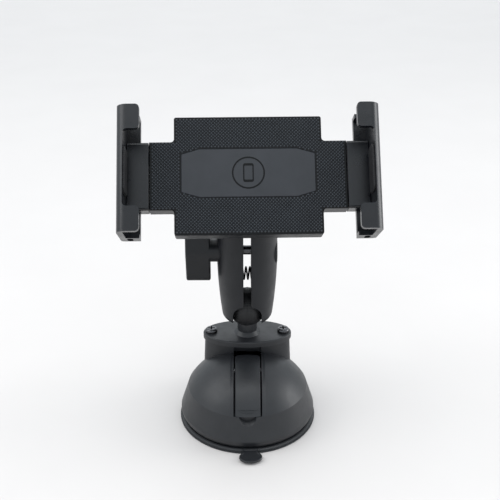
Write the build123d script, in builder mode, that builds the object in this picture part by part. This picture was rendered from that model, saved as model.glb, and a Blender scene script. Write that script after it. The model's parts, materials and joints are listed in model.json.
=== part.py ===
"""Suction-cup device mount: lever suction base, double ball arm and a spring-loaded four-claw cradle.

Millimetres.  The origin is the centre of the suction face, +Z is up and -Y is the front, where the
lever and the pull tab are.  Pieces of the cradle are drawn in the cradle's own plane: its local x
runs to the right, its local y up the cradle and its local z out of the face that carries the device.
"""
from build123d import *
from math import cos, radians, sin, sqrt
import os

os.makedirs("parts", exist_ok=True)

# ---------------------------------------------------------------- driving dimensions
# suction base
cup_radius = 45.4
cup_lip = 3.0
cup_turn = 1.9                # the cup with its tab is fitted slightly turned under the housing
tab_reach = 51.3              # from the cup's centre to the centre of the tab's oval end
tab_half_width = 7.3
tab_half_length = 5.3
tab_low = 1.4
tab_width = 9.4
rim_radius = 44.5             # the housing is widest here and rounds in below it
rim_height = 8.4
foot_radius = 42.4
crease_radius = 39.5
crease_height = 24.0
cap_radius = 46.9             # the cap above the crease is part of a sphere
shell = 2.4
stroke = 2.0                  # how far the lever lets the plunger down

# lever
slot_width = 18.3
slot_end = 6.6                # the slot runs from the crease to this far behind the middle
lever_width = 16.5
lever_thickness = 3.6
pivot_height = 33.5
pin_radius = 1.5
cheek_inner = 3.2
cheek_outer = 7.9
cam_radius = 3.5
cam_offset = 2.3
cam_angle = 45.0

# ball joints
column_y = 14.8               # the neck, the balls and the arm stand this far behind the middle
ball_radius = 12.7
core_radius = 10.0
stem_radius = 6.5
collar_radius = 8.6
plate_half_length = 29.4
plate_half_depth = 15.0
plate_thickness = 3.8
plate_top = 55.0
screw_spacing = 48.0
stem_length = 19.0            # from the plate's face to the ball's centre
running = 0.1                 # radial clearance of a rubber cover on its core
free_gap = 0.3                # clearance between a ball and its socket

# arm
ball_spacing = 83.0
arm_mid_radius = 19.4
arm_end_radius = 15.9
arm_end_fillet = 5.0
arm_overhang = 7.2            # the lobes reach this far beyond each ball's centre
arm_gap = 4.9
notch_half_width = 9.2
notch_radius = 9.4            # round the ball, wider than the notch's straight sides
bolt_radius = 3.0
pocket_radius = 8.8
pocket_floor = 12.5
cap_face = 19.2               # the bolt head's cover cap ends nearly level with the arm
spring_offset = 16.7
spring_seat = 8.6

# knob
hub_radius = 7.5
wing_inner = 23.7
wing_outer = 39.4
wing_reach = 21.4
washer_thickness = 1.0

# cradle
cradle_tilt = 35.5            # the face looks forward and this much upward
cradle_yaw = 1.05
cradle_turn = 0.76
face_distance = 37.3          # from the upper ball's centre to the face
face_width = 86.2
face_height = 70.2
neck_width = 115.0
neck_height = 40.4
mat_thickness = 2.4
cover_thickness = 2.0
floor_thickness = 2.0
wall = 2.0
badge_width = 78.0
badge_height = 28.8
badge_cut_x = 10.5
badge_cut_y = 3.1
badge_rise = 1.4              # the badge's centre is this far above the cradle's

# claws
jaw_outer = 74.3
jaw_wall = 3.6
jaw_half_height = 36.3
jaw_back = 26.4
jaw_back_thickness = 4.0
jaw_back_inner = 63.0
jaw_front_round = 6.0
jaw_rear_round = 2.6
jaw_end_wall = 2.4
jaw_front = 59.0
hook_width = 13.0
hook_height = 14.2
hook_thickness = 3.6
stage_inner = 57.9
stage_outer = 70.3

# drive inside the cradle
gear_module = 1.0
pinion_teeth = 14
rack_thickness = 5.0
rack_width = 7.0
claw_travel = 34.0
rack_inner_end = claw_travel + 7.0
tooth_width = 1.1             # at the pitch line, well under half the pitch, for a free mesh
post_radius = 2.5
spring_line = 19.5            # the closing springs lie this far from the cradle's middle line
anchor_x = 38.0

# ---------------------------------------------------------------- derived places
cap_centre = crease_height - sqrt(cap_radius**2 - crease_radius**2)
plate_bottom = plate_top - plate_thickness
lower_ball = (0, column_y, plate_top + stem_length)
upper_ball = (0, column_y, lower_ball[2] + ball_spacing)
arm_middle = (lower_ball[2] + upper_ball[2]) / 2
housing_back = face_distance - 12.1
cavity_floor = housing_back + floor_thickness
mat_bottom = face_distance - mat_thickness
cover_bottom = mat_bottom - cover_thickness
rack_bottom = cavity_floor + 0.3
pitch_radius = gear_module * pinion_teeth / 2

column = Plane(origin=(0, column_y, 0), x_dir=(1, 0, 0), z_dir=(0, 0, 1))
face_normal = (0, -cos(radians(cradle_tilt)), sin(radians(cradle_tilt)))
cradle_straight = Plane(origin=upper_ball, x_dir=(1, 0, 0), z_dir=face_normal)
cradle = Plane(cradle_straight.location * Location((0, 0, 0), (0, cradle_yaw, cradle_turn)))


def save(part, name):
    """Label a finished piece and write it as its own STEP file."""
    part.label = name
    export_step(part, f"parts/{name}.step")


def coil(radius, wire, length, turns):
    """A helical spring along +Z from the origin, measured over the wire."""
    with BuildPart() as spring:
        with BuildLine() as path:
            Helix(pitch=(length - wire) / turns, height=length - wire, radius=radius)
        with BuildSketch(path.line ^ 0):
            Circle(wire / 2)
        sweep(is_frenet=True)
    return Pos(0, 0, wire / 2) * spring.part


def cross_screw(head_radius, head_height, shank_radius, length, plane, spots):
    """Pan-head cross-recess screws, one at each spot; their heads sit on the plane."""
    with BuildPart(plane) as screws:
        with Locations(*spots):
            Cylinder(head_radius, head_height, align=(Align.CENTER, Align.CENTER, Align.MIN))
            Cylinder(shank_radius, length, align=(Align.CENTER, Align.CENTER, Align.MAX))
        crowns = screws.faces().sort_by(Axis((0, 0, 0), plane.z_dir))[-len(spots):]
        fillet(crowns.edges(), head_height * 0.6)
        with Locations(*[(x, y, head_height) for x, y in spots]):
            for angle in (0, 90):
                Box(head_radius * 1.15, head_radius * 0.24, head_height * 1.1,
                    rotation=(0, 0, angle), mode=Mode.SUBTRACT)
    return screws.part


def ring(outer, inner, height, plane, spots):
    """Plain rings or bushes standing on the plane, one at each spot."""
    with BuildPart(plane) as rings:
        with Locations(*spots):
            Cylinder(outer, height, align=(Align.CENTER, Align.CENTER, Align.MIN))
            Cylinder(inner, height, align=(Align.CENTER, Align.CENTER, Align.MIN), mode=Mode.SUBTRACT)
    return rings.part


# ---------------------------------------------------------------- suction cup
boss_radius = 12.0
boss_top = 8.6
pocket_wall = 8.4
pocket_low = 2.0
pocket_high = 7.2
neck_hole = 4.3

with BuildPart() as suction_cup:
    with BuildSketch(Plane.XZ):
        with BuildLine():
            Polyline(
                (0, 0), (cup_radius, 0), (cup_radius, cup_lip - 0.8), (cup_radius - 0.8, cup_lip),
                (boss_radius, cup_lip), (boss_radius, boss_top), (neck_hole, boss_top),
                (neck_hole, pocket_high), (pocket_wall, pocket_high), (pocket_wall, pocket_low),
                (0, pocket_low), close=True,
            )
        make_face()
    revolve(axis=Axis.Z)
    tab_plane = Plane.XY.rotated((0, 0, cup_turn)).offset(tab_low)
    with BuildSketch(tab_plane):
        with Locations((0, -(cup_radius - 3 + tab_reach) / 2)):
            Rectangle(tab_width, tab_reach - cup_radius + 3)
        with Locations((0, -tab_reach)):
            Ellipse(tab_half_width, tab_half_length)
    extrude(amount=cup_lip - tab_low)
    tab_rim = suction_cup.edges().filter_by(GeomType.ELLIPSE)
    fillet(tab_rim, 0.4)
save(suction_cup.part, "suction_cup")

# ---------------------------------------------------------------- plunger and its spring
head_top = 7.0
head_thickness = 2.6
collar_low = 13.0
collar_high = 14.5
web_low = 22.0
web_high = 24.0
stem_top = 26.0
yoke_half = 2.8
yoke_top = pivot_height + 7.5
t_head_low = pivot_height + 5.4
t_head_half = 7.4
t_head_depth = 2.6

with BuildPart() as plunger:
    for radius, low, high in (
        (8.0, head_top - head_thickness, head_top),
        (4.0, head_top, stem_top),
        (7.0, collar_low, collar_high),
    ):
        with BuildSketch(Plane.XY.offset(low)):
            Circle(radius)
        extrude(amount=high - low)
    with BuildSketch(Plane.XY.offset(stem_top)):
        Rectangle(2 * yoke_half, 2 * yoke_half)
    extrude(amount=yoke_top - stem_top)
    with BuildSketch(Plane.XY.offset(t_head_low)):
        Rectangle(2 * t_head_half, 2 * t_head_depth)
    extrude(amount=yoke_top - t_head_low)
    with BuildSketch(Plane.YZ.offset(-yoke_half)):
        with Locations((0, pivot_height + stroke / 2)):
            SlotCenterToCenter(stroke + 0.3, 2 * pin_radius + 0.2, rotation=90)
    extrude(amount=2 * yoke_half, mode=Mode.SUBTRACT)
save(plunger.part, "plunger")

plunger_spring = Pos(0, 0, collar_high) * coil(5.9, 0.9, web_low - collar_high, 3.5)
save(plunger_spring, "plunger_spring")

# ---------------------------------------------------------------- base housing: dome, slot and neck
neck_top_x = 28.3
neck_top_y = 10.7
neck_foot_x = 29.5
neck_foot_y = 11.6
neck_foot_height = 26.0
insert_radius = 3.2
insert_length = 7.0
relief_radius = 12.6
cheek_wall = 2.2
web_hole = 4.6
finger_half_width = 6.3
finger_drop = 5.2
finger_depth = 2.1
inner_cap = cap_radius - shell


def cap_point(radius, angle):
    """A point on a sphere round the cap's centre, at an angle from the vertical."""
    return (radius * sin(radians(angle)), cap_centre + radius * cos(radians(angle)))


crease_angle = 57.4
inner_crease = cap_point(inner_cap, crease_angle - 0.5)
cheek_front = cap_point(cap_radius - 1, -54)
cheek_rear = (9, cap_centre + cap_radius - 2)

with BuildPart() as base_housing:
    with BuildSketch(Plane.XZ):
        with BuildLine():
            Line((0, cup_lip), (foot_radius, cup_lip))
            ThreePointArc((foot_radius, cup_lip), (rim_radius - 0.5, cup_lip + 2.0),
                          (rim_radius, rim_height))
            Line((rim_radius, rim_height), (crease_radius, crease_height))
            ThreePointArc((crease_radius, crease_height), cap_point(cap_radius, 28),
                          (0, cap_centre + cap_radius))
            Line((0, cap_centre + cap_radius), (0, cup_lip))
        make_face()
    revolve(axis=Axis.Z)
    with BuildSketch(column.offset(neck_foot_height)):
        Ellipse(neck_foot_x, neck_foot_y)
    with BuildSketch(column.offset(plate_bottom)):
        Ellipse(neck_top_x, neck_top_y)
    loft()
    with BuildSketch(Plane.XZ):
        with BuildLine():
            Polyline((0, cup_lip), (foot_radius - shell, cup_lip),
                     (rim_radius - shell, rim_height), inner_crease)
            ThreePointArc(inner_crease, cap_point(inner_cap, 28), (0, cap_centre + inner_cap))
            Line((0, cap_centre + inner_cap), (0, cup_lip))
        make_face()
    revolve(axis=Axis.Z, mode=Mode.SUBTRACT)
    with BuildSketch(Plane.XY.offset(web_low)):
        Circle(crease_radius - 1.5)
        Circle(web_hole, mode=Mode.SUBTRACT)
    extrude(amount=web_high - web_low)
    for side in (-1, 1):
        with BuildSketch(Plane.YZ.offset(side * (slot_width + cheek_wall) / 2)):
            with BuildLine():
                Polyline(cheek_front, (-32, web_high), (9, web_high), cheek_rear)
                ThreePointArc(cheek_rear, cap_point(cap_radius - 1, -24), cheek_front)
            make_face()
        extrude(amount=cheek_wall / 2, both=True)
    with BuildSketch(Plane.XY.offset(crease_height)):
        with Locations((0, (slot_end - 50) / 2)):
            RectangleRounded(slot_width, slot_end + 50, 2.0)
    extrude(amount=plate_bottom - crease_height, mode=Mode.SUBTRACT)
    with BuildSketch(Plane.YZ.offset(-slot_width / 2)):
        with Locations((0, pivot_height)):
            Circle(relief_radius)
    extrude(amount=slot_width, mode=Mode.SUBTRACT)
    with BuildSketch(Plane.YZ):
        Polygon((-40.5, 15.5), (-34.5, 20), (-34.5, crease_height), (-38.8, crease_height),
                align=None)
    extrude(amount=finger_half_width + 0.3, both=True)
    with BuildSketch(Plane.XZ.offset(crease_radius - finger_depth)):
        with Locations((0, crease_height)):
            Ellipse(finger_half_width * 0.72, finger_drop * 0.72)
    with BuildSketch(Plane.XZ.offset(rim_radius)):
        with Locations((0, crease_height)):
            Ellipse(finger_half_width * 1.3, finger_drop * 1.3)
    loft(mode=Mode.SUBTRACT)
    with BuildSketch(Plane.YZ.offset(-slot_width / 2 - cheek_wall)):
        with Locations((0, pivot_height)):
            Circle(pin_radius)
    extrude(amount=slot_width + 2 * cheek_wall, mode=Mode.SUBTRACT)
    with BuildSketch(column.offset(plate_bottom)):
        with Locations((-screw_spacing / 2, 0), (screw_spacing / 2, 0)):
            Circle(insert_radius)
    extrude(amount=-insert_length - 2, mode=Mode.SUBTRACT)
save(base_housing.part, "base_housing")

with BuildPart() as pin:
    with BuildSketch(Plane.YZ.offset(-slot_width / 2 - cheek_wall)):
        with Locations((0, pivot_height)):
            Circle(pin_radius)
    extrude(amount=slot_width + 2 * cheek_wall)
save(pin.part, "lever_pin")

# ---------------------------------------------------------------- cam lever
scoop_half = 7.2
scoop_chord = 1.5
scoop_depth = 0.9
scoop_pitch = 0.95
rib_height = 0.45
scoop_angle = crease_angle - 4.2
scoop_seat = cap_point(cap_radius - scoop_depth, scoop_angle)
scoop_plane = Plane(origin=(0, -scoop_seat[0], scoop_seat[1]), x_dir=(1, 0, 0),
                    z_dir=(0, -sin(radians(scoop_angle)), cos(radians(scoop_angle))))
pin_running = 0.06
web_foot = 30.4
cam_spot = (cam_offset * sin(radians(cam_angle)), pivot_height + cam_offset * cos(radians(cam_angle)))

with BuildPart() as cam_lever:
    with Locations((0, 0, cap_centre)):
        Sphere(cap_radius)
        Sphere(cap_radius - lever_thickness, mode=Mode.SUBTRACT)
    with BuildSketch(Plane.XY.offset(crease_height + 0.3)):
        with Locations((0, (0.5 - 50) / 2)):
            RectangleRounded(lever_width, 50.5, 1.6)
    extrude(amount=30, mode=Mode.INTERSECT)
    side_edges = [
        e for e in cam_lever.edges()
        if abs(abs(e.center().X) - lever_width / 2) < 0.05
        and abs((e @ 0.5 - Vector(0, 0, cap_centre)).length - cap_radius) < 0.05
    ]
    chamfer(side_edges, 0.6)
    with BuildSketch(scoop_plane):
        with BuildLine():
            Line((-scoop_half, scoop_chord), (scoop_half, scoop_chord))
            ThreePointArc((-scoop_half, scoop_chord), (0, -scoop_chord), (scoop_half, scoop_chord))
        make_face()
    extrude(amount=2, mode=Mode.SUBTRACT)
    with BuildSketch(scoop_plane.offset(-0.2)):
        with Locations(*[(scoop_pitch * rib, 0.2) for rib in range(-3, 4)]):
            Rectangle(scoop_pitch / 2, 1.8)
    extrude(amount=0.2 + rib_height)
    for side in (-1, 1):
        with BuildSketch(Plane.YZ.offset(side * (cheek_inner + cheek_outer) / 2)):
            with Locations((0, pivot_height)):
                Circle(pin_radius + 1.6)
            with Locations(cam_spot):
                Circle(cam_radius)
            with BuildLine():
                Polyline((0, web_foot), (-9.5, web_foot), (-19.5, 39.2), (-12.5, 42.6), (-9.6, 38.0),
                         (-8.8, 33.2), (0, 33.2), close=True)
            make_face()
            with Locations((0, pivot_height)):
                Circle(pin_radius + pin_running, mode=Mode.SUBTRACT)
        extrude(amount=(cheek_outer - cheek_inner) / 2, both=True)
save(cam_lever.part, "cam_lever")

# ---------------------------------------------------------------- ball studs with their plates
def ball_stud(plane):
    """An oval two-hole plate with a stem and a ball core; the plane lies at the ball, facing out of it."""
    with BuildPart() as stud:
        with BuildSketch(plane.offset(-stem_length)):
            Ellipse(plate_half_length, plate_half_depth)
        extrude(amount=-plate_thickness)
        rim = stud.edges().filter_by(GeomType.ELLIPSE).sort_by(Axis((0, 0, 0), plane.z_dir))[-1]
        fillet(rim, 0.8)
        with BuildSketch(plane.offset(-stem_length)):
            Circle(collar_radius)
        with BuildSketch(plane.offset(-stem_length + 2.2)):
            Circle(stem_radius)
        loft()
        with BuildSketch(plane.offset(-stem_length)):
            Circle(stem_radius)
        extrude(amount=stem_length)
        with Locations(plane.origin):
            Sphere(core_radius)
        with BuildSketch(plane.offset(-stem_length)):
            with Locations((-screw_spacing / 2, 0), (screw_spacing / 2, 0)):
                Circle(2.1)
        extrude(amount=-plate_thickness, mode=Mode.SUBTRACT)
    return stud.part


def ball_jacket(plane):
    """The rubber cover of a ball, open where the stem leaves it."""
    with BuildPart() as jacket:
        with Locations(plane.origin):
            Sphere(ball_radius)
            Sphere(core_radius + running, mode=Mode.SUBTRACT)
        with BuildSketch(plane):
            Circle(stem_radius + free_gap)
        extrude(amount=-stem_length, mode=Mode.SUBTRACT)
    return jacket.part


lower_seat = column.offset(lower_ball[2])
upper_seat = Plane(origin=cradle.origin, x_dir=cradle.x_dir, z_dir=-cradle.z_dir)
save(ball_stud(lower_seat), "lower_ball_stud")
save(ball_jacket(lower_seat), "lower_ball_cover")
save(ball_stud(upper_seat), "upper_ball_stud")
save(ball_jacket(upper_seat), "upper_ball_cover")

plate_spots = [(-screw_spacing / 2, 0), (screw_spacing / 2, 0)]
lower_plate = column.offset(plate_top)
save(cross_screw(4.0, 2.6, 1.9, plate_thickness + insert_length, lower_plate, plate_spots), "plate_screws")
save(ring(insert_radius, 1.98, insert_length, column.offset(plate_bottom - insert_length), plate_spots),
     "plate_inserts")

# ---------------------------------------------------------------- arm halves
arm_low = lower_ball[2] - arm_overhang
arm_high = upper_ball[2] + arm_overhang


def arm_half():
    """The left half of the barrel-shaped arm, with its sockets, notches and pockets."""
    with BuildPart() as half:
        with BuildSketch(Plane(origin=(0, column_y, 0), x_dir=(-1, 0, 0), z_dir=(0, 1, 0))):
            with BuildLine():
                Polyline((arm_end_radius, arm_low), (0, arm_low), (0, arm_high),
                         (arm_end_radius, arm_high))
                ThreePointArc((arm_end_radius, arm_high), (arm_mid_radius, arm_middle),
                              (arm_end_radius, arm_low))
            make_face()
        revolve(axis=Axis((0, column_y, 0), (0, 0, 1)))
        fillet(half.edges().filter_by(GeomType.CIRCLE), arm_end_fillet)
        with Locations((-arm_gap / 2, column_y, arm_middle)):
            Box(60, 60, 120, align=(Align.MAX, Align.CENTER, Align.CENTER), mode=Mode.INTERSECT)
        with Locations(lower_ball, upper_ball):
            Sphere(ball_radius + free_gap, mode=Mode.SUBTRACT)
        for ball, away in ((lower_ball, -1), (upper_ball, 1)):
            with BuildSketch(Plane.XZ.offset(-column_y)):
                with Locations((0, ball[2])):
                    Circle(notch_radius)
                with Locations((0, ball[2] + away * 20)):
                    Rectangle(2 * notch_half_width, 40)
            extrude(amount=30, both=True, mode=Mode.SUBTRACT)
        with BuildSketch(Plane.YZ.offset(-pocket_floor)):
            with Locations((column_y, arm_middle)):
                Circle(pocket_radius)
        extrude(amount=-20, mode=Mode.SUBTRACT)
        with BuildSketch(Plane.YZ.offset(-30)):
            with Locations((column_y, arm_middle)):
                Circle(bolt_radius + 0.25)
        extrude(amount=30, mode=Mode.SUBTRACT)
        with BuildSketch(Plane.YZ.offset(-spring_seat)):
            with Locations((column_y, arm_middle - spring_offset), (column_y, arm_middle + spring_offset)):
                Circle(5.0)
        extrude(amount=spring_seat, mode=Mode.SUBTRACT)
        inner_face = half.faces().filter_by(Axis.X).sort_by(Axis.X)[-1]
        chamfer(inner_face.outer_wire().edges(), 0.7)
    return half.part


arm_half_left = arm_half()
save(arm_half_left, "arm_half_left")
save(mirror(arm_half_left, about=Plane.YZ), "arm_half_right")

for name, offset in (("arm_spring_lower", -spring_offset), ("arm_spring_upper", spring_offset)):
    seat = Plane(origin=(-spring_seat, column_y, arm_middle + offset), z_dir=(1, 0, 0))
    save(seat.location * coil(4.0, 1.1, 2 * spring_seat, 6.5), name)

# ---------------------------------------------------------------- clamp bolt, washer and knob
head_height = 4.0
head_across = 10.0
knob_inner = pocket_floor + washer_thickness + 0.1
nut_low = 20.0
nut_thickness = 5.0
bolt_end = 26.5

with BuildPart() as clamp_bolt:
    with BuildSketch(Plane.YZ.offset(pocket_floor)):
        with Locations((column_y, arm_middle)):
            RegularPolygon(head_across / 2, 6, major_radius=False)
    extrude(amount=head_height)
    with BuildSketch(Plane.YZ.offset(pocket_floor)):
        with Locations((column_y, arm_middle)):
            Circle(bolt_radius)
    extrude(amount=-pocket_floor - bolt_end)
    chamfer(clamp_bolt.edges().filter_by(GeomType.CIRCLE).sort_by(Axis.X)[0], 0.6)
save(clamp_bolt.part, "clamp_bolt")

with BuildPart() as bolt_cap:
    with BuildSketch(Plane.YZ.offset(pocket_floor)):
        with Locations((column_y, arm_middle)):
            Circle(pocket_radius - 0.3)
    extrude(amount=cap_face - pocket_floor)
    chamfer(bolt_cap.faces().sort_by(Axis.X)[-1].edges(), 0.5)
    with BuildSketch(Plane.YZ.offset(pocket_floor)):
        with Locations((column_y, arm_middle)):
            RegularPolygon(head_across / 2, 6, major_radius=False)
    extrude(amount=head_height, mode=Mode.SUBTRACT)
save(bolt_cap.part, "bolt_cap")

bolt_axis = Plane(origin=(-pocket_floor, column_y, arm_middle), z_dir=(-1, 0, 0))
save(ring(6.4, bolt_radius + 0.2, washer_thickness, bolt_axis, [(0, 0)]), "clamp_washer")

wing_middle = (wing_inner + wing_outer) / 2
wing_tip_radius = 4.2
with BuildPart() as clamp_knob:
    with BuildSketch(Plane.YZ.offset(-wing_outer)):
        with Locations((column_y, arm_middle)):
            Circle(hub_radius)
            for end in (-1, 1):
                with Locations((0, end * (wing_reach - wing_tip_radius))):
                    Circle(wing_tip_radius)
        make_hull()
    extrude(amount=wing_outer - wing_inner)
    fillet(clamp_knob.faces().sort_by(Axis.X)[0].edges(), 1.2)
    fillet(clamp_knob.faces().sort_by(Axis.X)[-1].edges(), 1.2)
    with BuildSketch(Plane.YZ.offset(-wing_inner - 2)):
        with Locations((column_y, arm_middle)):
            Circle(hub_radius)
    extrude(amount=wing_inner + 2 - knob_inner)
    with BuildSketch(Plane.YZ.offset(-knob_inner)):
        with Locations((column_y, arm_middle)):
            Circle(bolt_radius + 0.3)
    extrude(amount=-bolt_end - 2 + knob_inner, mode=Mode.SUBTRACT)
    with BuildSketch(Plane.YZ.offset(-nut_low)):
        with Locations((column_y, arm_middle)):
            RegularPolygon(head_across / 2, 6, major_radius=False)
    extrude(amount=-nut_thickness, mode=Mode.SUBTRACT)
save(clamp_knob.part, "clamp_knob")

with BuildPart() as knob_nut:
    with BuildSketch(Plane.YZ.offset(-nut_low)):
        with Locations((column_y, arm_middle)):
            RegularPolygon(head_across / 2, 6, major_radius=False)
            Circle(bolt_radius + 0.06, mode=Mode.SUBTRACT)
    extrude(amount=-nut_thickness)
save(knob_nut.part, "knob_nut")

# ---------------------------------------------------------------- cradle housing
corner_radius = 1.2
inside_radius = 2.0
boss_spots = [(x, y) for x in (-36, 36) for y in (-28.5, 28.5)]
rack_edge = pitch_radius + 1.1          # where a rack's teeth stand on its bar
rack_far = rack_edge + rack_width


def cross_outline(inset=0):
    """The cradle's outline inside the current sketch: a tall plate with a lower neck on each side."""
    Rectangle(neck_width - 2 * inset, neck_height - 2 * inset)
    Rectangle(face_width - 2 * inset, face_height - 2 * inset)


def cradle_block(low, high, inset=0):
    """The cross-shaped plate between two distances from the ball, with rounded corners."""
    with BuildPart() as block:
        with BuildSketch(cradle.offset(low)):
            cross_outline(inset)
        extrude(amount=high - low)
        uprights = block.edges().filter_by(Axis((0, 0, 0), cradle.z_dir))
        tall = [e for e in uprights if abs(cradle.to_local_coords(e.center()).Y) > neck_height / 2 + 1]
        fillet(tall, corner_radius)
        uprights = block.edges().filter_by(Axis((0, 0, 0), cradle.z_dir))
        inside = [
            e for e in uprights
            if abs(abs(cradle.to_local_coords(e.center()).X) - face_width / 2 + inset) < 0.1
            and abs(abs(cradle.to_local_coords(e.center()).Y) - neck_height / 2 + inset) < 0.1
        ]
        fillet(inside, inside_radius)
    return block.part


cavity = cradle_block(cavity_floor, cover_bottom, wall)
with BuildPart() as rear_housing:
    add(cradle_block(housing_back, cover_bottom))
    add(cavity, mode=Mode.SUBTRACT)
    with BuildSketch(cradle.offset(cavity_floor)):
        with Locations(*boss_spots):
            Circle(3.6)
        with Locations(*plate_spots):
            Circle(3.9)
        Circle(4.2)
    extrude(amount=0.6)
    with BuildSketch(cradle.offset(cavity_floor)):
        with Locations(*boss_spots):
            Circle(3.6)
        with Locations(*plate_spots):
            Circle(3.6)
        Circle(post_radius)
    extrude(amount=cover_bottom - cavity_floor - 0.1)
    with BuildSketch(cradle.offset(cavity_floor)):
        for side in (-1, 1):
            with Locations((side * anchor_x, side * spring_line)):
                Circle(1.6)
    extrude(amount=cover_bottom - cavity_floor - 0.5)
    with BuildSketch(cradle.offset(housing_back)):
        with Locations(*boss_spots):
            Circle(1.5)
        with Locations(*plate_spots):
            Circle(1.9)
    extrude(amount=cover_bottom - housing_back, mode=Mode.SUBTRACT)
    for side in (-1, 1):
        with BuildSketch(cradle.offset(rack_bottom - 0.2)):
            with Locations((-side * neck_width / 2, side * (rack_edge + rack_far) / 2)):
                Rectangle(10, rack_width + 0.6)
        extrude(amount=cover_bottom - rack_bottom + 0.2, mode=Mode.SUBTRACT)
save(rear_housing.part, "rear_housing")

with BuildPart() as front_cover:
    add(cradle_block(cover_bottom, mat_bottom))
    with BuildSketch(cradle.offset(cover_bottom)):
        with Locations(*boss_spots):
            Circle(1.5)
    extrude(amount=cover_thickness, mode=Mode.SUBTRACT)
save(front_cover.part, "front_cover")

badge_seat = face_distance - 1.4
half_w = badge_width / 2
half_h = badge_height / 2


def badge_outline():
    """The long octagon of the badge, inside the current sketch."""
    Polygon(
        (half_w, badge_rise + half_h - badge_cut_y), (half_w - badge_cut_x, badge_rise + half_h),
        (badge_cut_x - half_w, badge_rise + half_h), (-half_w, badge_rise + half_h - badge_cut_y),
        (-half_w, badge_rise - half_h + badge_cut_y), (badge_cut_x - half_w, badge_rise - half_h),
        (half_w - badge_cut_x, badge_rise - half_h), (half_w, badge_rise - half_h + badge_cut_y),
        align=None,
    )


with BuildPart() as grip_mat:
    add(cradle_block(mat_bottom, face_distance))
    fillet(grip_mat.faces().sort_by(Axis((0, 0, 0), cradle.z_dir))[-1].edges(), 0.7)
    with BuildSketch(cradle.offset(badge_seat)):
        badge_outline()
    extrude(amount=2, mode=Mode.SUBTRACT)
save(grip_mat.part, "grip_mat")

with BuildPart() as badge:
    with BuildSketch(cradle.offset(badge_seat)):
        badge_outline()
    extrude(amount=face_distance - badge_seat)
    chamfer(badge.faces().sort_by(Axis((0, 0, 0), cradle.z_dir))[-1].edges(), 0.3)
save(badge.part, "badge")

cradle_back = Plane(origin=cradle.origin, x_dir=cradle.x_dir, z_dir=-cradle.z_dir)
back_spots = [(x, -y) for x, y in boss_spots]
screw_floor = cradle_back.offset(-housing_back)
save(cross_screw(2.8, 1.8, 1.4, cover_bottom - housing_back + 1.2, screw_floor, back_spots), "housing_screws")
save(cross_screw(4.0, 2.6, 1.8, plate_thickness + 4.4, cradle_back.offset(-stem_length), plate_spots),
     "ball_plate_screws")

# ---------------------------------------------------------------- pinion, racks and closing springs
addendum = 0.85
dedendum = 1.1
tooth_tip = 0.55
tooth_root = tooth_width + 0.7
tooth_pitch = 3.14159 * gear_module
gear_low = cavity_floor + 0.8
gear_thickness = 4.3


def tooth():
    """One straight-sided gear tooth in the current sketch, pointing along +y from the pitch line."""
    Polygon(
        (-tooth_root / 2, -dedendum), (-tooth_width / 2, 0), (-tooth_tip / 2, addendum),
        (tooth_tip / 2, addendum), (tooth_width / 2, 0), (tooth_root / 2, -dedendum), align=None,
    )


with BuildPart() as pinion_gear:
    with BuildSketch(cradle.offset(gear_low)):
        Circle(pitch_radius - dedendum + 0.1)
        for turn in range(pinion_teeth):
            angle = radians(360 * turn / pinion_teeth)
            with Locations(Location((-pitch_radius * sin(angle), pitch_radius * cos(angle), 0),
                                    (0, 0, 360 * turn / pinion_teeth))):
                tooth()
    extrude(amount=gear_thickness)
    with BuildSketch(cradle.offset(gear_low)):
        Circle(post_radius + 0.08)
    extrude(amount=gear_thickness, mode=Mode.SUBTRACT)
save(pinion_gear.part, "pinion_gear")

# The left rack lies above the pinion and the right one below it; each piece of the right claw is the
# left one turned half round about the cradle's normal, apart from the jaw, which is symmetric.
rack_outer = jaw_outer - jaw_wall - 2.4
ear_x = 4.0
jaw_screw_spots = [(-61.2, rack_edge + rack_width / 2), (-66.2, rack_edge + rack_width / 2)]
jaw_end_top = 36.5
jaw_section = Plane(origin=cradle.origin, x_dir=cradle.x_dir, z_dir=-cradle.y_dir)

with BuildPart() as left_rack:
    with BuildSketch(cradle.offset(rack_bottom)):
        with Locations(((rack_inner_end - rack_outer) / 2, rack_edge + rack_width / 2)):
            Rectangle(rack_inner_end + rack_outer, rack_width)
        for step in range(-2, 12):
            with Locations(Location(((step + 0.5) * tooth_pitch, pitch_radius, 0), (0, 0, 180))):
                tooth()
        with Locations((ear_x, spring_line - 1.5)):
            Rectangle(3.2, 9.0)
    extrude(amount=rack_thickness)
    with BuildSketch(cradle.offset(rack_bottom)):
        with Locations(*jaw_screw_spots):
            Circle(1.1)
    extrude(amount=rack_thickness, mode=Mode.SUBTRACT)

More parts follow.
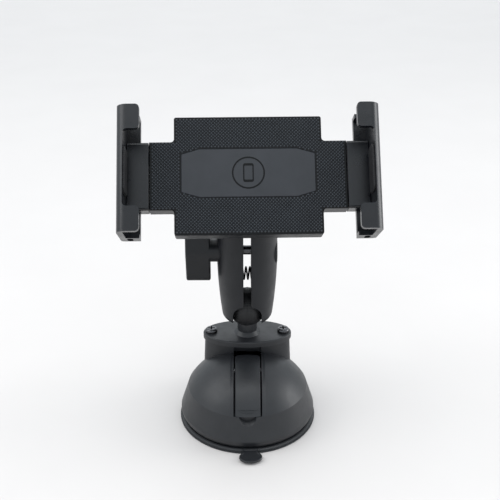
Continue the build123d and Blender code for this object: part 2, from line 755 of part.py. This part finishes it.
with BuildPart() as left_jaw:
    with BuildSketch(cradle.offset(jaw_back)):
        with Locations((-(jaw_outer + jaw_back_inner) / 2, 0)):
            Rectangle(jaw_outer - jaw_back_inner, 2 * jaw_half_height)
    extrude(amount=jaw_back_thickness)
    with BuildSketch(cradle.offset(jaw_back)):
        with Locations((-(jaw_outer - jaw_wall / 2), 0)):
            Rectangle(jaw_wall, 2 * jaw_half_height)
    extrude(amount=jaw_front - jaw_back)
    with BuildSketch(cradle.offset(jaw_front)):
        for end in (-1, 1):
            with Locations((hook_width / 2 - jaw_outer, end * (jaw_half_height - hook_height / 2))):
                Rectangle(hook_width, hook_height)
    extrude(amount=-hook_thickness)
    along = Axis((0, 0, 0), cradle.x_dir)
    normal = Axis((0, 0, 0), cradle.z_dir)
    tips = left_jaw.edges().filter_by(normal).sort_by(along)
    hook_tips = [e for e in tips if abs(e.length - hook_thickness) < 0.01]
    fillet(hook_tips, 2.4)
    with BuildSketch(cradle.offset(jaw_back)):
        with Locations((-(jaw_outer + jaw_back_inner) / 2, (jaw_end_wall / 2 - jaw_half_height))):
            Rectangle(jaw_outer - jaw_back_inner, jaw_end_wall)
        with Locations((-(jaw_outer + jaw_back_inner) / 2, (jaw_half_height - jaw_end_wall / 2))):
            Rectangle(jaw_outer - jaw_back_inner, jaw_end_wall)
    extrude(amount=jaw_end_top - jaw_back)
    with BuildSketch(jaw_section):
        with BuildLine():
            Polyline((-jaw_outer + jaw_front_round, jaw_front), (-50, jaw_front), (-50, jaw_back),
                     (-jaw_outer + jaw_rear_round, jaw_back))
            RadiusArc((-jaw_outer + jaw_rear_round, jaw_back), (-jaw_outer, jaw_back + jaw_rear_round),
                      jaw_rear_round)
            Line((-jaw_outer, jaw_back + jaw_rear_round), (-jaw_outer, jaw_front - jaw_front_round))
            RadiusArc((-jaw_outer, jaw_front - jaw_front_round), (-jaw_outer + jaw_front_round, jaw_front),
                      jaw_front_round)
        make_face()
    extrude(amount=jaw_half_height + 5, both=True, mode=Mode.INTERSECT)
    for end in (-1, 1):
        with BuildSketch(jaw_section.offset(-end * jaw_half_height)):
            with Locations(((-jaw_outer - jaw_back_inner) / 2, (jaw_back + jaw_end_top) / 2)):
                SlotOverall(7.5, 3.4, rotation=90)
        extrude(amount=end * (jaw_end_wall - 0.9), mode=Mode.SUBTRACT)
    with BuildSketch(cradle.offset(jaw_back)):
        with Locations((-(stage_inner + stage_outer) / 2, 0)):
            Rectangle(stage_outer - stage_inner, neck_height)
    extrude(amount=face_distance - jaw_back)
    rims = [
        e for e in left_jaw.edges()
        if abs(cradle.to_local_coords(e.center()).Z - face_distance) < 0.01
        and abs(cradle.to_local_coords(e.center()).X) < stage_outer - 0.5
        and abs(cradle.to_local_coords(e.center()).Y) > neck_height / 2 - 0.5
    ]
    fillet(rims, 1.6)
    with BuildSketch(cradle.offset(rack_bottom)):
        with Locations(((-rack_outer - stage_inner + 1) / 2, rack_edge + rack_width / 2)):
            Rectangle(rack_outer - stage_inner + 1, rack_width)
    extrude(amount=rack_thickness, mode=Mode.SUBTRACT)
    with BuildSketch(cradle.offset(jaw_back)):
        with Locations(*jaw_screw_spots):
            Circle(1.2)
    extrude(amount=rack_bottom - jaw_back, mode=Mode.SUBTRACT)

with BuildPart() as left_pad:
    pad_middle = (face_distance + jaw_front) / 2
    pad_plane = Plane(origin=cradle.from_local_coords((jaw_wall - jaw_outer, 0, pad_middle)),
                      x_dir=cradle.y_dir, z_dir=cradle.x_dir)
    with BuildSketch(pad_plane):
        RectangleRounded(27.0, 14.0, 3.0)
    extrude(amount=1.2)
    fillet(left_pad.faces().sort_by(along)[-1].edges(), 0.7)

left_screws = cross_screw(2.2, 1.3, 1.08, 4.6, cradle_back.offset(-jaw_back),
                          [(x, -y) for x, y in jaw_screw_spots])

left_spring_length = anchor_x - ear_x - 3.2
spring_seat_plane = Plane(
    origin=cradle.from_local_coords((ear_x + 1.6, spring_line, rack_bottom + rack_thickness / 2)),
    z_dir=cradle.x_dir,
)
left_spring = spring_seat_plane.location * coil(1.9, 0.6, left_spring_length, 30)

spin = Axis(cradle.origin, cradle.z_dir)
for side, turn in (("left", 0), ("right", 180)):
    save(left_rack.part.rotate(spin, turn), f"{side}_rack")
    save(left_jaw.part.rotate(spin, turn), f"{side}_jaw")
    save(left_pad.part.rotate(spin, turn), f"{side}_pad")
    save(left_screws.rotate(spin, turn), f"{side}_jaw_screws")
    save(left_spring.rotate(spin, turn), f"{side}_closing_spring")
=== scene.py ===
"""Looks for the suction-cup device mount: finishes, grip texture, emblem, cup lip, light and camera.

Sizes below are in millimetres and are turned into metres where a mesh is made.
"""
import json
import math
import bpy
from mathutils import Euler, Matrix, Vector


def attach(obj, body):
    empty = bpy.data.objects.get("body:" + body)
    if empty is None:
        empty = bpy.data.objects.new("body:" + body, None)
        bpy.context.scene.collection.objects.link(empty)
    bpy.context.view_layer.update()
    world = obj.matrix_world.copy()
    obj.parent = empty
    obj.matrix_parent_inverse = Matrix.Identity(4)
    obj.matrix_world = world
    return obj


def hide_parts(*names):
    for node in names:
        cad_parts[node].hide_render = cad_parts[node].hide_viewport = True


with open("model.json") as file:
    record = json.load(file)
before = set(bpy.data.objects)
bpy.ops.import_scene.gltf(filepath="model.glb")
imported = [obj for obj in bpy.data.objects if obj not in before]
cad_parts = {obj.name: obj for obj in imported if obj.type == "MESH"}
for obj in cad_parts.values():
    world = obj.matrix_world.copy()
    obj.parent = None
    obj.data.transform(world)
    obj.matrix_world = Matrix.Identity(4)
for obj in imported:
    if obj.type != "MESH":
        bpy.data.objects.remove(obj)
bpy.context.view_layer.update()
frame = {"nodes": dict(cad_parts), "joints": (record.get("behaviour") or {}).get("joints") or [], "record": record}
MM = 0.001

# ---------------------------------------------------------------- places taken from the frame
joints = {joint["name"]: joint for joint in frame["joints"]}
upper_ball = Vector(joints["cradle_spin"]["pos_m"])
face_out = Vector(joints["cradle_spin"]["axis"]).normalized()
cradle_right = -Vector(joints["left_claw_slide"]["axis"]).normalized()
cradle_up = face_out.cross(cradle_right)


def on_cradle(right, up, out):
    """A point in metres from millimetres along the cradle's own directions."""
    return upper_ball + (cradle_right * right + cradle_up * up + face_out * out) * MM


# ---------------------------------------------------------------- sizes of the modelled detail
face_distance = 37.3
face_half_width = 43.1
face_half_height = 35.1
neck_half_width = 57.5
neck_half_height = 20.2
edge_round = 0.7
grip_pitch = 1.43
grip_height = 0.34
badge_half_width = 39.0
badge_half_height = 14.4
badge_cut = (10.5, 3.1)
badge_rise = 1.4
grip_margin = 0.95            # bare edge of the face
# The bare line round the badge shows the painted-dark skin, a painted shade line round the badge.
badge_margin = 0.7            # bare line round the badge
cup_radius = 45.4
cup_lip = 3.0
cup_turn = math.radians(1.9)
teeth = 270
tooth_slant = 2.2
tooth_depth = 0.16
tab_reach = 51.3
tab_end = (7.3, 5.3)
tab_neck = 4.7
tab_low = 1.4
ball_radius = 12.7
top_edge = 0.05
top_draw = 0.985
emblem_ring = (9.6, 8.7)
emblem_phone = (3.1, 5.6)
emblem_screen = (2.35, 4.2)
emblem_button = (0.8, 0.2)
button_drop = 4.9


# ---------------------------------------------------------------- small mesh helpers
def mesh_object(name, points, faces):
    """A mesh object from points in metres."""
    mesh = bpy.data.meshes.new(name)
    mesh.from_pydata([tuple(point) for point in points], [], faces)
    mesh.validate()
    thing = bpy.data.objects.new(name, mesh)
    bpy.context.scene.collection.objects.link(thing)
    return thing


def ring_of_faces(first, second, count):
    """Quads between two closed rings of points, from the number of each ring's first point."""
    faces = []
    for step in range(count):
        after = (step + 1) % count
        faces.append((first + step, first + after, second + after, second + step))
    return faces


def raised_plate(outlines, low, high, place):
    """Points and faces of a flat plate from low to high, with a slightly drawn-in top edge.

    One outline gives a solid plate; a second one is the edge of a hole through it.  place turns
    (x, y, z) into a point in metres.
    """
    outer = outlines[0]
    count = len(outer)
    points = [place(x, y, low) for x, y in outer]
    points += [place(x, y, high - top_edge) for x, y in outer]
    points += [place(x * top_draw, y * top_draw, high) for x, y in outer]
    top = 2 * count
    faces = ring_of_faces(0, count, count) + ring_of_faces(count, top, count)
    if len(outlines) == 1:
        faces.append(tuple(range(top, top + count)))
        return points, faces
    hole_top = len(points)
    hole_bottom = hole_top + count
    points += [place(x, y, high) for x, y in outlines[1]]
    points += [place(x, y, low) for x, y in outlines[1]]
    faces += ring_of_faces(top, hole_top, count) + ring_of_faces(hole_top, hole_bottom, count)
    return points, faces


# ---------------------------------------------------------------- materials
def principled(name):
    """A new material with its node tree, shader and object coordinates in millimetres."""
    material = bpy.data.materials.new(name)
    material.use_nodes = True
    tree = material.node_tree
    shader = tree.nodes["Principled BSDF"]
    coordinates = tree.nodes.new("ShaderNodeTexCoord")
    scaled = tree.nodes.new("ShaderNodeVectorMath")
    scaled.operation = "SCALE"
    scaled.inputs["Scale"].default_value = 1000.0
    tree.links.new(coordinates.outputs["Object"], scaled.inputs[0])
    return material, tree, shader, scaled.outputs[0]


def noise(tree, where, scale, detail=4.0, roughness=0.55):
    """Noise over millimetre coordinates."""
    node = tree.nodes.new("ShaderNodeTexNoise")
    node.inputs["Scale"].default_value = scale
    node.inputs["Detail"].default_value = detail
    node.inputs["Roughness"].default_value = roughness
    tree.links.new(where, node.inputs["Vector"])
    return node.outputs[0]


def remap(tree, value, low, high, to_low, to_high):
    """A clamped linear change of range."""
    node = tree.nodes.new("ShaderNodeMapRange")
    ends = {"From Min": low, "From Max": high, "To Min": to_low, "To Max": to_high}
    for socket, number in ends.items():
        node.inputs[socket].default_value = number
    tree.links.new(value, node.inputs["Value"])
    return node.outputs[0]


def blend_colour(tree, factor, first, second):
    """A mix of two colours, each a tuple or a socket."""
    node = tree.nodes.new("ShaderNodeMix")
    node.data_type = "RGBA"
    tree.links.new(factor, node.inputs["Factor"])
    for socket, colour in ((node.inputs[6], first), (node.inputs[7], second)):
        if isinstance(colour, tuple):
            socket.default_value = (*colour, 1.0)
        else:
            tree.links.new(colour, socket)
    return node.outputs[2]


# Mask for lighter convex edges: partly light wear, partly a painted highlight standing in for the glint along
# rounded edges.
def edge_wear_and_highlight_mask(tree, radius):
    """Near 1 along convex edges and 0 on flat faces."""
    bevel = tree.nodes.new("ShaderNodeBevel")
    bevel.samples = 4
    bevel.inputs["Radius"].default_value = radius * MM
    geometry = tree.nodes.new("ShaderNodeNewGeometry")
    dot = tree.nodes.new("ShaderNodeVectorMath")
    dot.operation = "DOT_PRODUCT"
    tree.links.new(bevel.outputs[0], dot.inputs[0])
    tree.links.new(geometry.outputs["Normal"], dot.inputs[1])
    return remap(tree, dot.outputs["Value"], 0.985, 0.86, 0.0, 1.0)


def relief(tree, shader, height, distance, strength):
    """Bump from a height over the shader's own normal."""
    node = tree.nodes.new("ShaderNodeBump")
    node.inputs["Strength"].default_value = strength
    node.inputs["Distance"].default_value = distance * MM
    tree.links.new(height, node.inputs["Height"])
    tree.links.new(node.outputs[0], shader.inputs["Normal"])


def moulded(name, dark, light, rough, grain=2.6, depth=0.03, wear_and_highlight=(0.35, 1.7), specular=0.5):
    """Moulded plastic: mottled tint, fine spark-eroded grain, and convex edges painted lighter as light wear and
    as a painted edge highlight.
    """
    material, tree, shader, where = principled(name)
    mottle = remap(tree, noise(tree, where, 0.09, 5.0), 0.35, 0.68, 0.0, 1.0)
    tint = blend_colour(tree, mottle, dark, light)
    edge = edge_wear_and_highlight_mask(tree, wear_and_highlight[0])
    # Painted highlight with wear: convex edges are coloured lighter than the faces, as light wear and as the glint
    # of rounded edges.
    wear_and_highlight_colour = tuple(min(1.0, channel * wear_and_highlight[1] + 0.004) for channel in light)
    shader_colour = blend_colour(tree, edge, tint, wear_and_highlight_colour)
    tree.links.new(shader_colour, shader.inputs["Base Color"])
    smudge = noise(tree, where, 0.16, 6.0, 0.62)
    tree.links.new(remap(tree, smudge, 0.3, 0.72, rough - 0.05, rough + 0.07), shader.inputs["Roughness"])
    shader.inputs["Specular IOR Level"].default_value = specular
    relief(tree, shader, noise(tree, where, grain, 3.0, 0.6), depth, 0.5)
    return material


def metal(name, dark, light, rough):
    """Metal with a finely mottled brightness and roughness."""
    material, tree, shader, where = principled(name)
    mottle = noise(tree, where, 2.2, 4.0)
    tree.links.new(blend_colour(tree, mottle, dark, light), shader.inputs["Base Color"])
    tree.links.new(remap(tree, mottle, 0.3, 0.7, rough - 0.07, rough + 0.1), shader.inputs["Roughness"])
    shader.inputs["Metallic"].default_value = 1.0
    relief(tree, shader, mottle, 0.012, 0.4)
    return material


def ribbed_rubber(name, dark, light, rough, pitch):
    """Rubber with fine level ribs, one above the other."""
    material, tree, shader, where = principled(name)
    cloud = remap(tree, noise(tree, where, 0.2, 5.0), 0.3, 0.7, 0.0, 1.0)
    tree.links.new(blend_colour(tree, cloud, dark, light), shader.inputs["Base Color"])
    waves = tree.nodes.new("ShaderNodeTexWave")
    waves.bands_direction = "Z"
    waves.inputs["Scale"].default_value = 0.314 / pitch
    waves.inputs["Distortion"].default_value = 0.15
    tree.links.new(where, waves.inputs["Vector"])
    tree.links.new(remap(tree, noise(tree, where, 1.2), 0.3, 0.7, rough - 0.06, rough + 0.06),
                   shader.inputs["Roughness"])
    shader.inputs["Specular IOR Level"].default_value = 0.45
    relief(tree, shader, waves.outputs[1], 0.14, 0.7)
    return material


finishes = {
    "cup_rubber": moulded("cup_rubber", (0.006, 0.007, 0.009), (0.010, 0.011, 0.013), 0.46,
                          grain=1.8, depth=0.03),
    "housing_plastic": moulded("housing_plastic", (0.0085, 0.0095, 0.0115), (0.012, 0.013, 0.0155), 0.42,
                               grain=2.8, depth=0.035),
    "lever_plastic": moulded("lever_plastic", (0.0085, 0.0095, 0.0115), (0.0115, 0.013, 0.0155), 0.4),
    "steel": metal("steel", (0.45, 0.45, 0.46), (0.62, 0.62, 0.63), 0.3),
    "spring_steel": metal("spring_steel", (0.10, 0.10, 0.105), (0.18, 0.18, 0.185), 0.3),
    "stud_plastic": moulded("stud_plastic", (0.010, 0.011, 0.013), (0.014, 0.015, 0.018), 0.42),
    "ball_rubber": ribbed_rubber("ball_rubber", (0.005, 0.005, 0.006), (0.009, 0.009, 0.010), 0.48, 0.9),
    "black_screw": metal("black_screw", (0.07, 0.07, 0.073), (0.12, 0.12, 0.125), 0.24),
    "brass": metal("brass", (0.60, 0.42, 0.18), (0.75, 0.56, 0.28), 0.3),
    "arm_plastic": moulded("arm_plastic", (0.004, 0.005, 0.007), (0.0065, 0.0075, 0.010), 0.44,
                           specular=0.36),
    "knob_plastic": moulded("knob_plastic", (0.004, 0.005, 0.0065), (0.0065, 0.0075, 0.0095), 0.42,
                            specular=0.36),
    "cradle_plastic": moulded("cradle_plastic", (0.004, 0.005, 0.007), (0.007, 0.008, 0.010), 0.44),
    # Painted shade: the skin between the grip pyramids is far darker than the cradle plastic, standing in for the
    # shade in the hollows between them.
    "textured_skin": moulded("textured_skin", (0.0012, 0.0016, 0.0024), (0.002, 0.003, 0.004), 0.5,
                             grain=3.2, depth=0.02, specular=0.2),
    "badge_plastic": moulded("badge_plastic", (0.010, 0.0125, 0.017), (0.014, 0.0165, 0.022), 0.5,
                             grain=3.4, depth=0.02),
    "gear_plastic": moulded("gear_plastic", (0.55, 0.55, 0.52), (0.66, 0.66, 0.62), 0.5, wear_and_highlight=(0.2, 1.1)),
    "rack_plastic": moulded("rack_plastic", (0.018, 0.018, 0.020), (0.024, 0.024, 0.027), 0.5),
    # The jaws' rounded edges get a strong painted highlight, lifted 2.6 times, together with light wear.
    "jaw_plastic": moulded("jaw_plastic", (0.0015, 0.002, 0.0035), (0.003, 0.004, 0.006), 0.3,
                           wear_and_highlight=(0.45, 2.6)),
    "pad_rubber": ribbed_rubber("pad_rubber", (0.002, 0.002, 0.003), (0.004, 0.004, 0.005), 0.65, 1.0),
}
# Painted highlight: the grip pyramids are coloured much lighter and bluer than the skin between them, standing in
# for the light caught by their tips.
grip_tip_painted_highlight = moulded("grip_tips_painted_highlight", (0.017, 0.0205, 0.025), (0.023, 0.0275, 0.033), 0.38,
                      grain=3.2, depth=0.01)
emblem_finish = moulded("emblem_gloss", (0.001, 0.0015, 0.002), (0.002, 0.0025, 0.003), 0.4,
                        grain=3.0, depth=0.01, specular=0.18)


def finish_with(thing, material):
    """Puts one finish on every material slot of an object."""
    if not thing.material_slots:
        thing.data.materials.append(material)
    for slot in thing.material_slots:
        slot.material = material


for subpart in frame["record"]["subparts"]:
    finish_with(frame["nodes"][subpart["node"]], finishes[subpart["material_slot"]])


# ---------------------------------------------------------------- diamond grip texture
def edge_distance(right, up):
    """How far inside the cross-shaped face a point lies."""
    in_neck = min(neck_half_width - abs(right), neck_half_height - abs(up))
    in_face = min(face_half_width - abs(right), face_half_height - abs(up))
    return max(in_neck, in_face)


def in_badge(right, up, margin):
    """Whether a point is within the long octagon of the badge, grown by a margin."""
    x = abs(right)
    y = abs(up - badge_rise)
    if x > badge_half_width + margin or y > badge_half_height + margin:
        return False
    past_x = x - (badge_half_width - badge_cut[0])
    past_y = y - (badge_half_height - badge_cut[1])
    return past_x / badge_cut[0] + past_y / badge_cut[1] < 1 + margin / badge_cut[1]


def grip_texture():
    """Small truncated pyramids in diamond order, following the rounded edge of the face."""
    points = []
    faces = []
    half_step = grip_pitch / math.sqrt(2)
    columns = int(neck_half_width / half_step)
    rows = int(face_half_height / half_step)
    base = half_step * 0.8
    top = half_step * 0.3
    for column in range(-columns, columns + 1):
        for row in range(-rows, rows + 1):
            if (column + row) % 2:
                continue
            right = column * half_step
            up = row * half_step
            inside = edge_distance(right, up)
            if inside < grip_margin or in_badge(right, up, badge_margin):
                continue
            hang = max(0.0, edge_round - inside)
            seat = face_distance - edge_round + math.sqrt(edge_round**2 - hang**2)
            first = len(points)
            for reach, out in ((base, seat - 0.05 - hang * 0.3), (top, seat + grip_height)):
                for x, y in ((reach, 0), (0, reach), (-reach, 0), (0, -reach)):
                    points.append(on_cradle(right + x, up + y, out))
            for side in range(4):
                after = (side + 1) % 4
                faces.append((first + side, first + after, first + 4 + after, first + 4 + side))
            faces.append((first + 4, first + 5, first + 6, first + 7))
    return mesh_object("grip_texture", points, faces)


grip = grip_texture()
finish_with(grip, grip_tip_painted_highlight)
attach(grip, "cradle")


# ---------------------------------------------------------------- emblem: a ring round a phone pictogram
def circle(radius):
    """A circle as an outline."""
    steps = [math.tau * step / 96 for step in range(96)]
    return [(radius * math.cos(angle), radius * math.sin(angle)) for angle in steps]


def rounded_box(half_x, half_y, corner):
    """A rectangle with round corners as an outline, anticlockwise."""
    outline = []
    per_corner = 8
    for number, (sx, sy) in enumerate(((1, 1), (-1, 1), (-1, -1), (1, -1))):
        for step in range(per_corner + 1):
            angle = math.radians(90 * (number + step / per_corner))
            outline.append((sx * (half_x - corner) + corner * math.cos(angle),
                            sy * (half_y - corner) + corner * math.sin(angle)))
    return outline


def on_badge(x, y, z):
    """A point on the badge, from its middle."""
    return on_cradle(x, y + badge_rise, face_distance + z)


button = [(x, y - button_drop) for x, y in rounded_box(*emblem_button, 0.18)]
for name, outlines, height in (
    ("emblem_ring", [circle(radius) for radius in emblem_ring], 0.12),
    ("emblem_phone", [rounded_box(*emblem_phone, 1.2), rounded_box(*emblem_screen, 0.5)], 0.12),
    ("emblem_button", [button], 0.2),
):
    piece = mesh_object(name, *raised_plate(outlines, -0.1, height, on_badge))
    finish_with(piece, emblem_finish)
    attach(piece, "cradle")


# ---------------------------------------------------------------- suction cup with its serrated lip and tab
def cup_mesh():
    """The flat cup: hatched outer wall, plain top, and sealing rings pressed into the underside.

    Each row is a radius, a height and how strongly the hatching cuts it.
    """
    turns = 1080
    rows = [
        (0.5, 0.0, 0.0), (22.0, 0.0, 0.0), (22.6, 0.35, 0.0), (24.4, 0.35, 0.0), (25.0, 0.0, 0.0),
        (38.0, 0.0, 0.0), (38.4, 0.3, 0.0), (39.6, 0.3, 0.0), (40.0, 0.0, 0.0),
        (44.7, 0.0, 0.0), (cup_radius, 0.35, 0.0), (cup_radius, 0.75, 0.0),
        (cup_radius - 0.15, 0.85, 1.0), (cup_radius - 0.2, 1.5, 1.0), (cup_radius - 0.3, 2.2, 1.0),
        (cup_radius - 0.9, 2.75, 1.0), (cup_radius - 1.9, cup_lip, 0.0), (41.0, cup_lip, 0.0),
        (12.0, cup_lip, 0.0), (12.0, 8.6, 0.0), (4.3, 8.6, 0.0), (4.3, 6.9, 0.0),
    ]
    points = []
    for radius, height, hatch in rows:
        for turn in range(turns):
            angle = math.tau * turn / turns
            tooth = math.sin(angle * teeth + height * tooth_slant)
            depth = tooth_depth * hatch * (1 + tooth)
            points.append((Vector((math.cos(angle), math.sin(angle), 0)) * (radius - depth)
                           + Vector((0, 0, height))) * MM)
    faces = []
    for level in range(len(rows) - 1):
        faces += ring_of_faces(level * turns, (level + 1) * turns, turns)
    faces.append(tuple(reversed(range(turns))))
    return points, faces


def tab_outline():
    """Half-width against distance from the cup's middle: a neck that swells into an oval end."""
    half = []
    start = cup_radius - 1.4
    for step in range(25):
        along = start + (tab_reach - start) * step / 24
        across = max(0.0, 1 - ((tab_reach - along) / tab_end[1]) ** 2)
        oval = tab_end[0] * math.sqrt(across)
        soften = 1.6 * (tab_reach - along) / (tab_reach - start)
        half.append(((tab_neck + oval + math.hypot(tab_neck - oval, soften)) / 2, along))
    tip = [(tab_end[0] * math.cos(math.pi * k / 40), tab_reach + tab_end[1] * math.sin(math.pi * k / 40))
           for k in range(1, 40)]
    return half + tip + [(-x, y) for x, y in reversed(half)]


def tab_mesh():
    """The pull tab: the outline between two heights with softened edges and a dished top."""
    outline = tab_outline()
    count = len(outline)
    middle = Vector((0, tab_reach))
    levels = ((0.3, tab_low), (0.0, tab_low + 0.3), (0.0, cup_lip - 0.35), (0.3, cup_lip),
              (0.9, cup_lip), (1.3, cup_lip - 0.2))
    points = []
    for inset, height in levels:
        for x, y in outline:
            inward = middle - Vector((x, y))
            inward *= inset / max(inward.length, 0.1)
            spot = Vector((x + inward.x, -(y + inward.y), height))
            spot.rotate(Euler((0, 0, cup_turn)))
            points.append(spot * MM)
    faces = []
    for level in range(len(levels) - 1):
        for step in range(count):
            after = (step + 1) % count
            faces.append((level * count + step, (level + 1) * count + step,
                          (level + 1) * count + after, level * count + after))
    faces.append(tuple(range(count)))
    faces.append(tuple(reversed(range((len(levels) - 1) * count, len(levels) * count))))
    return points, faces


cup_points, cup_faces = cup_mesh()
cup = mesh_object("suction_cup_lip", cup_points, cup_faces)
finish_with(cup, finishes["cup_rubber"])
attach(cup, "base")
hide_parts("suction_cup")

tab = mesh_object("pull_tab", *tab_mesh())
finish_with(tab, finishes["cup_rubber"])
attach(tab, "base")


# ---------------------------------------------------------------- mould seams round the balls
def seam_mesh(centre, across, outward):
    """A fine raised rib round a ball, in the plane square to across.

    outward points from the stem through the ball's centre; the rib is open round the stem.
    """
    points = []
    faces = []
    sideways = across.cross(outward)
    count = 120
    gap = math.radians(38)
    for step in range(count + 1):
        angle = gap + (math.tau - 2 * gap) * step / count
        out = outward * -math.cos(angle) + sideways * math.sin(angle)
        for width, height in ((-0.28, -0.05), (-0.12, 0.14), (0.12, 0.14), (0.28, -0.05)):
            points.append(centre + (out * (ball_radius + height) + across * width) * MM)
    for step in range(count):
        for side in range(3):
            low = step * 4 + side
            faces.append((low, low + 1, low + 5, low + 4))
    return points, faces


lower_ball = Vector(joints["arm_swivel"]["pos_m"])
for name, centre, across, outward, body in (
    ("lower_ball_seam", lower_ball, Vector((1, 0, 0)), Vector((0, 0, 1)), "lower_cover"),
    ("upper_ball_seam", upper_ball, cradle_right, -face_out, "upper_cover"),
):
    seam = mesh_object(name, *seam_mesh(centre, across, outward))
    finish_with(seam, finishes["ball_rubber"])
    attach(seam, body)


# ---------------------------------------------------------------- floor, light and camera
floor_material, floor_tree, floor_shader, floor_where = principled("pale_floor")
floor_tint = remap(floor_tree, noise(floor_tree, floor_where, 0.01, 3.0), 0.3, 0.7, 0.0, 1.0)
floor_tree.links.new(blend_colour(floor_tree, floor_tint, (0.612, 0.585, 0.568), (0.627, 0.60, 0.583)),
                     floor_shader.inputs["Base Color"])
floor_shader.inputs["Roughness"].default_value = 0.55
reach = 6
corners = [(-reach, -reach, 0), (reach, -reach, 0), (reach, reach, 0), (-reach, reach, 0)]
floor = mesh_object("floor", corners, [(0, 1, 2, 3)])
finish_with(floor, floor_material)

world = bpy.data.worlds.new("studio")
bpy.context.scene.world = world
bpy.context.scene.view_settings.view_transform = "Standard"
world.use_nodes = True
surround = world.node_tree.nodes["Background"]
surround.inputs["Color"].default_value = (0.88, 0.945, 1.0, 1.0)
surround.inputs["Strength"].default_value = 1.05


def softbox(name, place, target, size, watts):
    """A large white area light aimed at a point."""
    light = bpy.data.lights.new(name, "AREA")
    light.shape = "RECTANGLE"
    light.size, light.size_y = size
    light.energy = watts
    thing = bpy.data.objects.new(name, light)
    thing.location = place
    thing.rotation_euler = (Vector(target) - Vector(place)).to_track_quat("-Z", "Y").to_euler()
    bpy.context.scene.collection.objects.link(thing)


softbox("overhead", (0.0, -0.1, 1.25), (0, 0, 0.1), (1.3, 0.9), 6.5)
softbox("left_high", (-1.0, -0.1, 0.95), (0, 0, 0.1), (0.9, 0.9), 5.2)
softbox("right_side", (1.1, 0.1, 0.4), (0, 0, 0.1), (0.5, 0.7), 5.0)
softbox("far_floor", (0.0, 2.3, 1.3), (0, 2.3, 0), (3.0, 1.6), 13.5)

camera_place = Vector((-2.47, -496.5, 364.7)) * MM
camera_dip = math.radians(25.99)
camera_yaw = math.radians(-0.48)
camera_data = bpy.data.cameras.new("camera")
camera_data.sensor_width = 36.0
camera_data.lens = 63.86
camera = bpy.data.objects.new("camera", camera_data)
camera.location = camera_place
camera.rotation_euler = Euler((math.pi / 2 - camera_dip, 0, camera_yaw))
bpy.context.scene.collection.objects.link(camera)
bpy.context.scene.camera = camera
